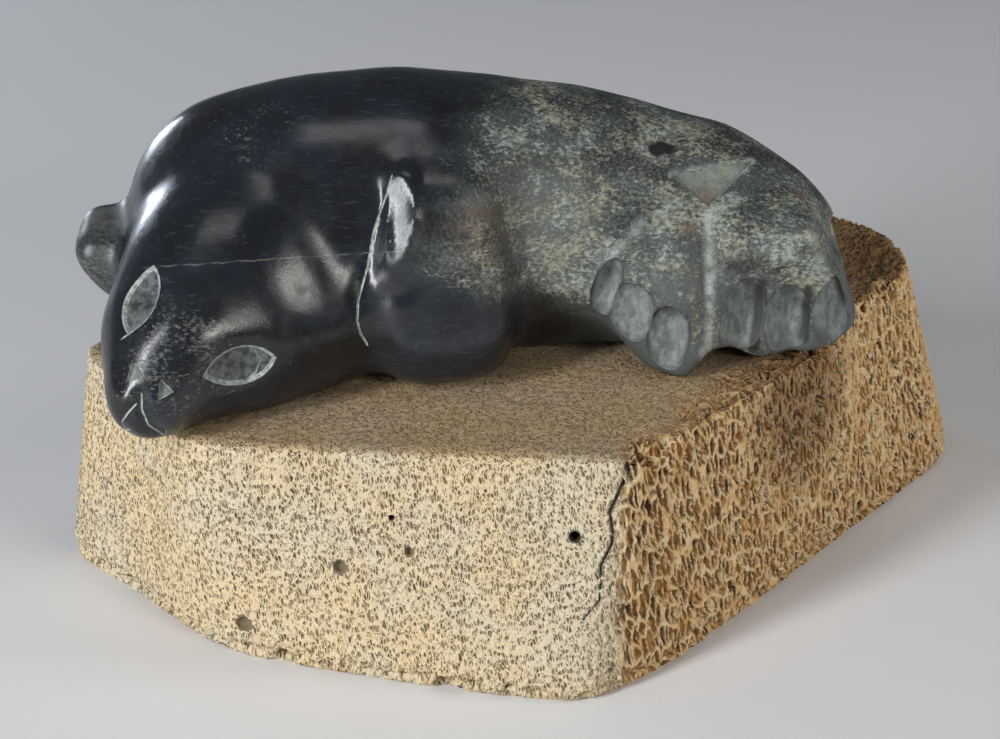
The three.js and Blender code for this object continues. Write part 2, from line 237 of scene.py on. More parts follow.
# Lost lumps at the front corner, on the right rim and along the foot: place and radius.
LOST_LUMPS = (
    ((27.5, -68.5, 58.5), 3.0), ((31.5, -66.0, 57.0), 2.6),
    ((34.0, -63.0, 59.0), 2.4), ((33.0, -68.0, 54.0), 2.0),
    ((97.0, 31.0, 59.5), 3.2), ((90.0, 18.0, 58.0), 2.5),
    ((72.0, -11.0, 59.5), 2.2), ((60.0, -27.0, 59.0), 2.0),
    ((-96.0, -52.0, 2.0), 4.5), ((-84.0, -62.0, 0.5), 4.0),
    ((-62.0, -71.0, 1.5), 3.6), ((-74.0, -68.0, 2.0), 3.4),
    ((-100.0, -25.0, 1.0), 3.6), ((-20.0, -82.0, 0.5), 3.2),
    ((52.0, -72.0, 1.0), 3.4), ((88.0, -25.0, 1.0), 3.2),
)
balls = []
for spot, radius in LOST_LUMPS:
    bpy.ops.object.select_all(action="DESELECT")
    bpy.ops.mesh.primitive_ico_sphere_add(subdivisions=3, radius=radius * MM, location=Vector(spot) * MM)
    balls.append(bpy.context.object)
cut(bone, balls)
finish_with(bone, "REMESH", mode="VOXEL", voxel_size=BONE_VOXEL)

# The underside stays one flat face, and so does the top where the seal hides it, inside
# these circles: across, along and radius.
HIDDEN_TOP = ((-70, 0, 28), (-30, 5, 30), (0, 8, 30), (35, 12, 26))
LEVEL = 0.98
SKIN = 0.5 * MM


def under_seal(spot):
    return any((spot.xy - Vector((x, y)) * MM).length < radius * MM for x, y, radius in HIDDEN_TOP)


for face in bone.data.polygons:
    below = face.normal.z < -LEVEL and face.center.z < SKIN
    above = face.normal.z > LEVEL and face.center.z > bone_top - SKIN
    face.select = below or (above and under_seal(face.center))
bpy.ops.object.mode_set(mode="EDIT")
bpy.ops.mesh.dissolve_limited(angle_limit=math.radians(2))
bpy.ops.object.mode_set(mode="OBJECT")

# The two sawn sides that are looked at most are made twice as fine.
for face in bone.data.polygons:
    standing = abs(face.normal.z) < 0.75 and len(face.vertices) < 5
    open_side = face.normal.dot(SAWN_SIDE) > 0.75
    face.select = standing and (open_side or face.normal.dot(FRONT_SIDE) > 0.8)
for vertex in bone.data.vertices:
    vertex.select = False
for edge in bone.data.edges:
    edge.select = False
for face in bone.data.polygons:
    if face.select:
        for key in face.edge_keys:
            bone.data.vertices[key[0]].select = True
            bone.data.vertices[key[1]].select = True
bpy.ops.object.mode_set(mode="EDIT")
bpy.ops.mesh.select_mode(type="FACE")
bpy.ops.mesh.subdivide(number_cuts=1)
bpy.ops.object.mode_set(mode="OBJECT")

# Weather eats the cells open: each point sinks straight into the bone.
weather = bpy.data.node_groups.new("weathered_bone", "GeometryNodeTree")
weather.interface.new_socket("Geometry", in_out="INPUT", socket_type="NodeSocketGeometry")
weather.interface.new_socket("Geometry", in_out="OUTPUT", socket_type="NodeSocketGeometry")
sawn = weather.nodes.new("NodeGroupInput").outputs["Geometry"]
sawn_place = place(weather, "GeometryNodeInputPosition").outputs[0]
kept_place = place(
    weather, "GeometryNodeStoreNamedAttribute",
    {"Geometry": sawn, "Name": "sawn_place", "Value": sawn_place}, data_type="FLOAT_VECTOR", domain="POINT",
)
wide_cells, fine_cells, openness = bone_cells(weather, sawn_place)
worn = noise(weather, sawn_place, 9 * MM, 3)
height = vectors(weather, "DOT_PRODUCT", sawn_place, (0, 0, 1))
foot = ramp(weather, height, 1 * MM, CHIPPED_UP_TO, 1.0, 0.0)
grade = ramp(weather, worn, 0.35, 0.65, 0.35, 1.0)
wide_depth = sums(weather, "MULTIPLY", sums(weather, "MULTIPLY", wide_cells, grade), COARSE_DEPTH)
fine_depth = sums(weather, "MULTIPLY", fine_cells, FINE_DEPTH)
depth = between(weather, openness, fine_depth, wide_depth)
chipped = ramp(weather, noise(weather, sawn_place, 5 * MM, 3), 0.42, 0.66)
crumbs = sums(weather, "MULTIPLY", sums(weather, "MULTIPLY", foot, chipped), CHIP_DEPTH)
ripple = sums(weather, "MULTIPLY", noise(weather, sawn_place, 3 * MM, 2), RIPPLE_DEPTH)
depth = sums(weather, "ADD", sums(weather, "ADD", depth, crumbs), ripple)
outward = place(weather, "GeometryNodeInputNormal").outputs[0]
up = vectors(weather, "DOT_PRODUCT", outward, (0, 0, 1))
depth = sums(weather, "MULTIPLY", depth, ramp(weather, up, -0.9, -0.6))
inward = place(weather, "ShaderNodeVectorMath", {0: outward}, operation="SCALE")
weather.links.new(sums(weather, "MULTIPLY", depth, -1), inward.inputs["Scale"])
eaten = place(
    weather, "GeometryNodeSetPosition", {"Geometry": kept_place.outputs[0], "Offset": inward.outputs[0]}
)
weather.links.new(eaten.outputs[0], weather.nodes.new("NodeGroupOutput").inputs["Geometry"])
finish_with(bone, "NODES", node_group=weather)

# Bone: cream walls between brown hollows, tan and stained on the sawn right side.
whalebone = bpy.data.materials.new("old_whalebone")
whalebone.use_nodes = True
tree = whalebone.node_tree
shader = tree.nodes["Principled BSDF"]
shader.inputs["Roughness"].default_value = 0.86
shader.inputs["Specular IOR Level"].default_value = 0.25
spot = place(tree, "ShaderNodeAttribute", attribute_name="sawn_place").outputs["Vector"]
wide_cells, fine_cells, openness = bone_cells(tree, spot)
patches = noise(tree, spot, 30 * MM, 3)
mottle = noise(tree, spot, 4 * MM, 4, 0.6)
dust = noise(tree, spot, 0.9 * MM, 3, 0.6)
cream = blend(tree, ramp(tree, patches, 0.38, 0.62), (0.68, 0.53, 0.32, 1), (0.62, 0.54, 0.39, 1))
tan = blend(tree, ramp(tree, mottle, 0.35, 0.65), (0.84, 0.63, 0.36, 1), (0.72, 0.44, 0.18, 1))
walls = blend(tree, openness, cream, tan)
streaks = noise(tree, vectors(tree, "MULTIPLY", spot, (1, 1, 0.14)), 1.6 * MM, 3, 0.6)
walls = blend(tree, ramp(tree, streaks, 0.5, 0.75, 0.0, 0.35), walls, (0.36, 0.23, 0.10, 1))
walls = blend(tree, ramp(tree, dust, 0.45, 0.75, 0.0, 0.45), walls, (0.80, 0.70, 0.50, 1))
hollow_fine = blend(tree, ramp(tree, mottle, 0.4, 0.6), (0.13, 0.07, 0.03, 1), (0.36, 0.24, 0.12, 1))
hollow_wide = blend(tree, ramp(tree, mottle, 0.36, 0.56), (0.07, 0.025, 0.008, 1), (0.42, 0.21, 0.07, 1))
hollow = blend(tree, openness, hollow_fine, hollow_wide)
choice = ramp(tree, noise(tree, spot, 1.3 * MM, 3, 0.6), 0.41, 0.60)
fine_amount = sums(tree, "MULTIPLY", fine_cells, choice)
in_cell = between(tree, openness, fine_amount, wide_cells)
colour = blend(tree, in_cell, walls, hollow)
top = vectors(tree, "DOT_PRODUCT", spot, (0, 0, 1))
on_top = ramp(tree, top, 58.5 * MM, 59.6 * MM)
# The top face is made darker and browner.
darker_top = blend(tree, sums(tree, "MULTIPLY", on_top, 0.55), colour, (0.30, 0.17, 0.075, 1))
stain = sums(tree, "MULTIPLY", near(tree, spot, (72 * MM, -18 * MM, 50 * MM), 10 * MM, 34 * MM), 0.6)
stained = blend(tree, stain, darker_top, (0.12, 0.05, 0.02, 1))
back_stain = sums(tree, "MULTIPLY", near(tree, spot, (98 * MM, 45 * MM, 60 * MM), 12 * MM, 45 * MM), 0.5)
stained = blend(tree, sums(tree, "MULTIPLY", back_stain, on_top), stained, (0.10, 0.04, 0.015, 1))
tree.links.new(stained, shader.inputs["Base Color"])
relief = sums(tree, "SUBTRACT", sums(tree, "MULTIPLY", dust, 0.7), in_cell)
bump = place(tree, "ShaderNodeBump", {"Height": relief, "Distance": 0.8 * MM, "Strength": 1.0})
tree.links.new(bump.outputs[0], shader.inputs["Normal"])
bone.data.materials.clear()
bone.data.materials.append(whalebone)

# Drilled and worm holes, bored square to the front: place, radius, depth and what shows
# inside. The crack runs down the front from the corner: across and height.
hole_dark = plain_stuff("hole_shadow", (0.035, 0.022, 0.012, 1), 0.9)
hole_dust = plain_stuff("hole_filled_with_dust", (0.20, 0.15, 0.09, 1), 0.95)
HOLES = (
    ((11.2, -78.4, 40.6), 1.4, 9.0, hole_dark),
    ((-28.8, -74.6, 34.5), 1.1, 1.6, hole_dust),
    ((-45.7, -72.4, 29.1), 1.7, 1.8, hole_dust),
    ((-70.1, -67.1, 10.2), 1.9, 1.8, hole_dust),
    ((-33.0, -74.0, 43.0), 0.7, 3.0, hole_dark),
)
drills = []
for spot, radius, deep, inside in HOLES:
    bpy.ops.object.select_all(action="DESELECT")
    bpy.ops.mesh.primitive_cylinder_add(
        vertices=28, radius=radius * MM, depth=2 * deep * MM,
        location=Vector(spot) * MM, rotation=(math.radians(90), 0, 0),
    )
    drill = bpy.context.object
    drill.data.materials.append(inside)
    drills.append(drill)
CRACK_RADIUS = 0.5 * MM
CRACK_THINS = 0.07
IN_FRONT = -300
CRACK = (
    (23.5, 58.5), (24.0, 55.8), (21.9, 52.0), (19.5, 46.9), (20.3, 41.8), (20.1, 39.2),
    (17.5, 34.1), (17.4, 29.1), (17.2, 25.5), (14.8, 22.8), (12.8, 20.2),
)
crack = []
for step, (across, height) in enumerate(CRACK):
    start = Vector((across, IN_FRONT, height)) * MM
    hit, spot, normal, face = bone.ray_cast(start, Vector((0, 1, 0)))
    crack.append((spot, 1 - CRACK_THINS * step))
cut(bone, drills + [tube(crack, CRACK_RADIUS, hole_dark, smooth=False)])
for face in bone.data.polygons:
    face.use_smooth = True
bone.data.name = "whalebone_block_weathered"
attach(bone, "root")
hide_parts("whalebone_block")

# The seal: one piece of dark soapstone, filed to shape, rubbed smooth and polished nearly
# black. Toes, eyes and folds are cut through the polish and left as pale, matt, bare
# stone. Places are in millimetres from one point under it, a little off its middle.
STONE_VOXEL = 0.92 * MM
ZERO_FROM_CORNER = Vector((108.504, 47.399, 0)) * MM
FROM_FRONT = Vector((0, -0.906, 0.423)).normalized()

seal_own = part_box("soapstone_seal")[0] + ZERO_FROM_CORNER
seal = copied_solid("soapstone_seal", "soapstone_seal_polished")
bpy.ops.object.mode_set(mode="EDIT")
bpy.ops.mesh.select_all(action="SELECT")
bpy.ops.mesh.tris_convert_to_quads(face_threshold=math.radians(30), shape_threshold=math.radians(40))
bpy.ops.object.mode_set(mode="OBJECT")
finish_with(seal, "SUBSURF", levels=2, render_levels=2)
finish_with(seal, "REMESH", mode="VOXEL", voxel_size=STONE_VOXEL)
finish_with(seal, "SMOOTH", factor=0.5, iterations=6)


def fade(value, inner, outer):
    """1 up to inner, 0 from outer on."""
    return max(0.0, min(1.0, (outer - value) / (outer - inner)))


# The head and the body are rubbed rounder than the hind flippers.
ROUND_UP_TO = 10
FLIPPERS_FROM = 24
body = seal.vertex_groups.new(name="body")
for vertex in seal.data.vertices:
    towards_flippers = (vertex.co - seal_own).x / MM
    body.add([vertex.index], fade(towards_flippers, ROUND_UP_TO, FLIPPERS_FROM), "REPLACE")
finish_with(seal, "SMOOTH", factor=0.6, iterations=26, vertex_group="body")
seal.vertex_groups.clear()


CAST_FROM = 0.2
WELL_OFF = 8 * MM
MARK_STEP = 0.5 * MM


def own(x, y, z):
    return seal_own + Vector((x, y, z)) * MM


def on_skin(mark):
    """Where a mark meets the seal's skin, seen from the front, and the way out of the stone."""
    hit, spot, normal, face = seal.ray_cast(own(*mark) + FROM_FRONT * CAST_FROM, -FROM_FRONT)
    if not hit or (spot - own(*mark)).length > WELL_OFF:
        hit, spot, normal, face = seal.closest_point_on_mesh(own(*mark))
    return spot, normal


def along_marks(marks):
    """Close-set places on the skin along a row of marks, each with how far along it is, 0 to 1."""
    places = []
    for number, (start, end) in enumerate(zip(marks, marks[1:])):
        start, end = Vector(start), Vector(end)
        count = max(2, int((end - start).length * MM / MARK_STEP))
        for part in range(count):
            spot, normal = on_skin(start.lerp(end, part / count))
            places.append((spot, normal, (number + part / count) / (len(marks) - 1)))
    return places


def closest_of(spots):
    """A finder of the closest of these spots."""
    finder = KDTree(len(spots))
    for number, spot in enumerate(spots):
        finder.insert(spot, number)
    finder.balance()
    return finder


def press(marks, half_width, depth, direction="NORMAL"):
    """Files a soft valley along a row of marks, or leaves a soft ridge where the depth is below zero."""
    places = along_marks(marks)
    finder = closest_of([spot for spot, normal, far in places])
    pressed = seal.vertex_groups.new(name="pressed")
    for vertex in seal.data.vertices:
        spot, number, off = finder.find(vertex.co)
        if off < 2 * half_width * MM:
            ends = min(1.0, 0.25 + 4 * min(places[number][2], 1 - places[number][2]))
            weight = ends * (0.5 + 0.5 * math.cos(math.pi * off / (2 * half_width * MM)))
            pressed.add([vertex.index], weight, "REPLACE")
    finish_with(
        seal, "DISPLACE", strength=-depth * MM, mid_level=0, vertex_group="pressed", direction=direction
    )
    seal.vertex_groups.clear()


def standing_on(spot, normal, along):
    """A place on the skin with Z out of the stone and X along a direction."""
    along = (along - normal * along.dot(normal)).normalized()
    across = normal.cross(along)
    return Matrix.Translation(spot) @ Matrix((along, across, normal)).transposed().to_4x4()


# The old cuts are rubbed away before they are made anew with sharp edges.
# Eyes: middle, way along, length, width. Toes: middle, length, width, lean.
RUBBED_BEYOND = 3 * MM
EYES = (
    ((-86.2, -30.5, 31.8), (-0.2, -0.4, -0.85), 17.0, 8.8),
    ((-62.3, -34.0, 16.8), (0.99, 0.1, 0.05), 17.0, 9.6),
)
TOES = (
    ((25.8, 0.1, 21.1), 17, 6.5, 0.3),
    ((31.9, -1.6, 13.6), 20, 10.6, 0.2),
    ((41.3, -4.2, 9.5), 17, 10.6, 0.15),
    ((60.5, 1.7, 13.2), 22, 10.4, 0.08),
    ((71.3, 5.4, 10.6), 20, 11.2, 0),
    ((84.0, 9.1, 11.0), 19, 10.4, -0.1),
)
old_cuts = seal.vertex_groups.new(name="old_cuts")
soft_spots = [(on_skin(mark)[0], 0.5 * long * MM + 2 * MM) for mark, along, long, wide in EYES]
soft_spots += [(on_skin(mark)[0], 0.5 * long * MM) for mark, long, wide, lean in TOES]
for spot, reach in soft_spots:
    for vertex in seal.data.vertices:
        off = (vertex.co - spot).length
        if off < reach + RUBBED_BEYOND:
            old_cuts.add([vertex.index], fade(off, reach, reach + RUBBED_BEYOND), "REPLACE")
finish_with(seal, "SMOOTH", factor=0.8, iterations=22, vertex_group="old_cuts")
seal.vertex_groups.clear()

# Soft valleys and ridges filed along rows of marks: half width, depth, direction, marks.
CLEFT = ((51.9, 7.4, 40.9), (51.9, 0.7, 34.9), (52.1, -4.9, 26.5), (52.2, -7.1, 16.6), (52.5, -6.4, 5.0))
MUZZLE = ((-85.2, -45.7, 15.0), (-85.4, -46.5, 11.0), (-84.1, -46.6, 6.8), (-79.8, -45.5, 2.8))
LIP = ((-86.4, -46.2, 12.5), (-88.6, -45.2, 9.5), (-90.6, -44.4, 6.6), (-89.5, -44.0, 3.0))
CREASE = (
    (-26.3, -3.0, 53.6), (-27.6, -5.6, 49.7), (-29.4, -7.2, 45.3),
    (-30.9, -8.6, 40.9), (-32.4, -11.6, 33.4), (-34.9, -14.1, 24.8),
    (-35.1, -15.6, 20.1), (-34.3, -14.7, 16.2), (-32.6, -14.6, 12.9),
)
CREST = ((35.3, 3.6, 38.4), (29.8, -0.1, 33.0), (26.1, -1.1, 28.1), (23.0, -0.6, 21.3))
LEADING_EDGE = (
    (-25.0, -1.0, 57.0), (-23.9, -7.3, 51.4), (-23.4, -10.9, 45.0),
    (-24.4, -12.8, 37.9), (-26.7, -13.5, 31.5),
)
LOWER_EDGE = ((-25.6, -15.0, 27.0), (-25.4, -15.4, 22.0), (-25.6, -15.7, 17.8), (-23.0, -16.0, 10.0))
RIGHT_EDGE = ((80.0, 20.0, 37.8), (78.5, 2.7, 34.0), (82.8, 6.5, 18.8))
RIGHT_HOLLOW = ((87.5, 30.0, 31.0), (88.1, 24.5, 25.0), (88.9, 22.8, 20.7))
OVER_TOES = ((56.5, -2.5, 29.0), (61.0, -2.0, 29.6), (66.5, -1.0, 30.3))
TOE_ENDS = ((74.0, 7.0, 7.5), (82.0, 8.0, 7.5), (88.0, 10.0, 8.0))
PRESSES = (
    (3.8, 3.4, "NORMAL", CLEFT),
    (1.7, 1.5, "NORMAL", MUZZLE),
    (1.3, 0.7, "NORMAL", LIP),
    (2.2, 0.5, "NORMAL", CREASE),
    (3.4, -2.4, "NORMAL", LEADING_EDGE),
    (3.4, -0.7, "NORMAL", LOWER_EDGE),
    (1.6, -0.8, "NORMAL", CREST),
    (1.6, -0.6, "NORMAL", RIGHT_EDGE),
    (9.0, 3.0, "NORMAL", RIGHT_HOLLOW),
    (2.4, 0.6, "NORMAL", OVER_TOES),
    (8.0, 3.4, "Z", TOE_ENDS),
)
for half_width, depth, direction, marks in PRESSES:
    press(marks, half_width, depth, direction)

# A narrow flat is filed down the fore flipper from the crease to its leading edge, and
# the whole skin is rubbed smooth once more.
FLAT_SPOT = (-27.4, -8.5, 46.4)
FLAT_FACING = Vector((-0.40, -0.83, 0.38)).normalized()
FLAT_ALONG = Vector((0, -0.45, -0.87))
FLAT_LENGTH = 46 * MM
FLAT_WIDTH = 6.9 * MM
FLAT_DEPTH = 0.6 * MM
FILE_HEIGHT = 10 * MM
spot, normal = on_skin(FLAT_SPOT)
here = standing_on(spot, FLAT_FACING, FLAT_ALONG)
bpy.ops.object.select_all(action="DESELECT")
bpy.ops.mesh.primitive_cylinder_add(vertices=64, radius=0.5, depth=1)
file = bpy.context.object
middle = Matrix.Translation((0, 0.5 * FLAT_WIDTH, 0.5 * FILE_HEIGHT - FLAT_DEPTH))
file.matrix_world = here @ middle @ Matrix.Diagonal((FLAT_LENGTH, FLAT_WIDTH, FILE_HEIGHT, 1))
cut(seal, [file])
finish_with(seal, "REMESH", mode="VOXEL", voxel_size=STONE_VOXEL)
finish_with(seal, "SMOOTH", factor=0.5, iterations=3)

# Stone fleck: pale grains of another mineral, drawn out along the stone's bedding.
fleck = bpy.data.node_groups.new("stone_fleck", "ShaderNodeTree")
fleck.interface.new_socket("Vector", in_out="INPUT", socket_type="NodeSocketVector")
fleck.interface.new_socket("Amount", in_out="INPUT", socket_type="NodeSocketFloat")
fleck.interface.new_socket("Grains", in_out="OUTPUT", socket_type="NodeSocketFloat")
fleck.interface.new_socket("Clouds", in_out="OUTPUT", socket_type="NodeSocketFloat")
fleck_in = fleck.nodes.new("NodeGroupInput")
fleck_out = fleck.nodes.new("NodeGroupOutput")
bedded = vectors(fleck, "MULTIPLY", fleck_in.outputs["Vector"], (0.75, 1.0, 1.45))
grains = noise(fleck, bedded, 1.0 * MM, 5, 0.72)
knots = noise(fleck, bedded, 7 * MM, 3, 0.5)
gathered = sums(fleck, "MULTIPLY_ADD", knots, 0.42, grains)
gate = sums(fleck, "MULTIPLY_ADD", fleck_in.outputs["Amount"], -0.33, 0.9)
fleck.links.new(ramp(fleck, sums(fleck, "SUBTRACT", gathered, gate), 0.0, 0.17), fleck_out.inputs["Grains"])
fleck.links.new(noise(fleck, bedded, 11 * MM, 4, 0.6), fleck_out.inputs["Clouds"])

# Painted shade: the near black laid under rims and in gaps, over any colour of the stone.
painted_shade_group = bpy.data.node_groups.new("painted_shade_in_cuts", "ShaderNodeTree")
painted_shade_group.interface.new_socket("Color", in_out="INPUT", socket_type="NodeSocketColor")
painted_shade_group.interface.new_socket("Color", in_out="OUTPUT", socket_type="NodeSocketColor")
painted_cut_shade = place(painted_shade_group, "ShaderNodeAttribute", attribute_name="painted_cut_shade").outputs["Fac"]
unshaded = painted_shade_group.nodes.new("NodeGroupInput").outputs["Color"]
shaded = blend(painted_shade_group, painted_cut_shade, unshaded, (0.012, 0.013, 0.013, 1))
painted_shade_group.links.new(shaded, painted_shade_group.nodes.new("NodeGroupOutput").inputs["Color"])


def soapstone(name):
    made = bpy.data.materials.new(name)
    made.use_nodes = True
    where = place(made.node_tree, "ShaderNodeTexCoord").outputs["Object"]
    return made, made.node_tree, made.node_tree.nodes["Principled BSDF"], where


# The polished skin: black head and back, a rump thick with pale flecks, dull hind flippers.
polished, tree, shader, spot = soapstone("polished_soapstone")

# Where it is flecked: all over the rump, and in patches on the face, back and flippers.
clouds = noise(tree, spot, 18 * MM, 4, 0.6)
from_middle = vectors(tree, "SUBTRACT", spot, seal_own)
towards_tail = vectors(tree, "DOT_PRODUCT", from_middle, (1, 0, -0.6))
towards_tail = sums(tree, "MULTIPLY_ADD", clouds, 34 * MM, sums(tree, "ADD", towards_tail, 25 * MM))
rump = ramp(tree, towards_tail, -12 * MM, 14 * MM)
height = vectors(tree, "DOT_PRODUCT", from_middle, (0.45, 0, 1))
rump = sums(tree, "MULTIPLY", rump, ramp(tree, height, 18 * MM, 31 * MM))
hind = ramp(tree, towards_tail, 50 * MM, 70 * MM)
face_dust = near(tree, spot, own(-75, -40, 20), 6 * MM, 23 * MM)
back_dust = near(tree, spot, own(-60, 9, 61), 3 * MM, 24 * MM)
muzzle_dust = near(tree, spot, own(-16, -17, 17), 3 * MM, 9 * MM)
outer_flipper = near(tree, spot, own(-98, 18, 24), 10 * MM, 16 * MM)
lumps = ramp(tree, noise(tree, spot, 13 * MM, 3, 0.55), 0.36, 0.64, 0.44, 0.84)
above_toes = sums(tree, "MULTIPLY", ramp(tree, height, 46 * MM, 60 * MM, 1.0, 0.0), hind)
lumps = sums(tree, "MULTIPLY_ADD", above_toes, -0.2, lumps)
amount = sums(tree, "MULTIPLY_ADD", rump, lumps, 0.08)
amount = sums(tree, "MULTIPLY_ADD", face_dust, 0.52, amount)
amount = sums(tree, "MULTIPLY_ADD", back_dust, 0.3, amount)
amount = sums(tree, "MULTIPLY_ADD", muzzle_dust, 0.3, amount)
amount = sums(tree, "MULTIPLY_ADD", outer_flipper, 0.7, amount)
flecks = place(tree, "ShaderNodeGroup", {"Vector": spot, "Amount": amount}, node_tree=fleck)
fleck_clouds = flecks.outputs["Clouds"]

# The ground under the flecks, with a painted sheen on the back, and the flecks in white, yellow and grey.
black = blend(tree, ramp(tree, clouds, 0.35, 0.65), (0.010, 0.0105, 0.012, 1), (0.014, 0.018, 0.024, 1))
grey = blend(tree, ramp(tree, fleck_clouds, 0.4, 0.62), (0.016, 0.018, 0.018, 1), (0.060, 0.068, 0.066, 1))
speckled = sums(tree, "MAXIMUM", rump, outer_flipper)
ground = blend(tree, sums(tree, "MULTIPLY", speckled, 0.8), black, grey)
salt = ramp(tree, noise(tree, spot, 0.8 * MM, 4, 0.7), 0.44, 0.66)
salt = sums(tree, "MULTIPLY", sums(tree, "MULTIPLY", speckled, salt), 0.65)
ground = blend(tree, salt, ground, (0.15, 0.17, 0.155, 1))
# Painted sheen: a soft grey patch where the back between the flippers shines.
painted_sheen = near(tree, spot, own(12, 5, 41), 5 * MM, 19 * MM)
ground = blend(tree, sums(tree, "MULTIPLY", painted_sheen, 0.75), ground, (0.10, 0.11, 0.105, 1))
yellow = blend(tree, ramp(tree, fleck_clouds, 0.45, 0.6), (0.31, 0.32, 0.23, 1), (0.33, 0.36, 0.33, 1))
gleam = ramp(tree, noise(tree, spot, 1.6 * MM, 3, 0.6), 0.36, 0.62)
yellow = blend(tree, gleam, (0.13, 0.14, 0.12, 1), yellow)
pale = blend(tree, rump, (0.12, 0.12, 0.11, 1), yellow)
ground = blend(tree, sums(tree, "MULTIPLY", above_toes, 0.7), ground, (0.085, 0.098, 0.094, 1))
colour = blend(tree, flecks.outputs["Grains"], ground, pale)

# Worn lines and painted shade, then one dark inclusion, a painted shade above the toes and a few rust
# stains.
worn_lines = place(tree, "ShaderNodeAttribute", attribute_name="worn_line").outputs["Fac"]
patchy = ramp(tree, noise(tree, spot, 2.5 * MM, 4, 0.65), 0.36, 0.6, 0.25, 1.0)
worn_lines = sums(tree, "MULTIPLY", worn_lines, patchy)
colour = blend(tree, worn_lines, colour, (0.40, 0.44, 0.41, 1))
colour = place(tree, "ShaderNodeGroup", {"Color": colour}, node_tree=painted_shade_group).outputs["Color"]
ragged = sums(tree, "MULTIPLY_ADD", noise(tree, spot, 3 * MM, 3), 4 * MM, -2 * MM)


def oval(middle, squeeze, inner, outer):
    """A ragged oval patch on the stone."""
    squeezed = vectors(tree, "MULTIPLY", vectors(tree, "SUBTRACT", spot, middle), squeeze)
    length = place(tree, "ShaderNodeVectorMath", {0: squeezed}, operation="LENGTH").outputs["Value"]
    return ramp(tree, sums(tree, "ADD", length, ragged), inner, outer, 1.0, 0.0)


# Painted shade: a dark band under the fold above the right flipper's toes, mixed in with one dark inclusion
# on the back.
toe_shade = sums(tree, "MULTIPLY", oval(own(61.0, -2.0, 29.8), (0.36, 1, 1.2), 0.8 * MM, 4.4 * MM), 0.62)
dark_inclusion_and_shade = sums(tree, "MAXIMUM", oval(own(40.4, 21.9, 51.2), (0.55, 1, 1), 1.6 * MM, 3.2 * MM), toe_shade)
colour = blend(tree, dark_inclusion_and_shade, colour, (0.008, 0.008, 0.009, 1))
rust_noise = ramp(tree, noise(tree, spot, 3 * MM, 5, 0.75), 0.38, 0.68)
rust = sums(tree, "MULTIPLY", near(tree, spot, own(-3.7, -10.0, 41.0), 3 * MM, 12 * MM), rust_noise)
rust_left = oval(own(46.5, 3, 37.2), (1, 1, 1.4), 0.4 * MM, 2.8 * MM)
rust_right = oval(own(75.8, 17.5, 40.2), (1, 1, 1), 0.4 * MM, 2.4 * MM)
rust_small = sums(tree, "MAXIMUM", rust_left, rust_right)
rusty = sums(tree, "MULTIPLY", sums(tree, "MAXIMUM", rust, rust_small), 0.62)
colour = blend(tree, rusty, colour, (0.17, 0.10, 0.06, 1))

# Fine scratches along the bedding, and one pale vein across the shoulder.
along_bed = noise(tree, vectors(tree, "MULTIPLY", spot, (0.3, 0.7, 4)), 1.4 * MM, 4, 0.6)
scratches = ramp(tree, along_bed, 0.56, 0.72, 0.0, 0.5)
colour = blend(tree, scratches, colour, (0.06, 0.066, 0.07, 1))
vein_height = vectors(tree, "DOT_PRODUCT", spot, (-0.0666, 0.3905, 0.9206))
vein_height = sums(tree, "SUBTRACT", vein_height, 77.7 * MM)
vein_height = sums(tree, "ADD", vein_height, sums(tree, "MULTIPLY", ragged, 0.3))
vein = ramp(tree, sums(tree, "ABSOLUTE", vein_height), 0.08 * MM, 0.25 * MM, 1.0, 0.0)
vein = sums(tree, "MULTIPLY", vein, near(tree, spot, own(-52, -18, 37), 28 * MM, 38 * MM))
vein = sums(tree, "MULTIPLY", vein, ramp(tree, noise(tree, spot, 5 * MM, 2), 0.35, 0.6, 0.05, 0.38))
colour = blend(tree, vein, colour, (0.26, 0.27, 0.25, 1))
tree.links.new(colour, shader.inputs["Base Color"])

# The polish: bright on the black stone, dull on rump, hind flippers and flecks.
dull = sums(tree, "MAXIMUM", speckled, hind)
shine = sums(tree, "MULTIPLY_ADD", dull, 0.3, 0.2)
shine = sums(tree, "MULTIPLY_ADD", flecks.outputs["Grains"], 0.22, shine)
shine = sums(tree, "MULTIPLY_ADD", ramp(tree, noise(tree, spot, 6 * MM, 4, 0.6), 0.4, 0.7), 0.12, shine)
shine = sums(tree, "MULTIPLY", shine, sums(tree, "MULTIPLY_ADD", dark_inclusion_and_shade, -0.3, 1.0))
tree.links.new(shine, shader.inputs["Roughness"])
grit = sums(tree, "MULTIPLY_ADD", flecks.outputs["Grains"], -0.6, noise(tree, spot, 0.8 * MM, 3))
bump = place(tree, "ShaderNodeBump", {"Height": grit, "Distance": 0.05 * MM, "Strength": 0.5})
tree.links.new(bump.outputs[0], shader.inputs["Normal"])

# Bare stone in the toes and the tail, with the file's streaks in it.
bare, tree, shader, spot = soapstone("bare_cut_soapstone")
shader.inputs["Roughness"].default_value = 0.62
flecks = place(tree, "ShaderNodeGroup", {"Vector": spot, "Amount": 0.4}, node_tree=fleck)
file_marks = noise(tree, vectors(tree, "MULTIPLY", spot, (1.4, 1, 0.7)), 2.4 * MM, 5, 0.62)
ground = blend(tree, ramp(tree, file_marks, 0.35, 0.7), (0.10, 0.115, 0.112, 1), (0.23, 0.26, 0.245, 1))
colour = blend(tree, flecks.outputs["Grains"], ground, (0.28, 0.30, 0.27, 1))
tail_wear = ramp(tree, noise(tree, spot, 1.1 * MM, 4, 0.7), 0.36, 0.62, 0.15, 0.75)
tail_tint = sums(tree, "MULTIPLY", near(tree, spot, own(53, 17, 45), 5 * MM, 13 * MM), tail_wear)
colour = blend(tree, tail_tint, colour, (0.23, 0.24, 0.18, 1))
tail_rust = sums(tree, "MULTIPLY", near(tree, spot, own(52.3, 10, 42.3), 1 * MM, 7 * MM), 0.55)
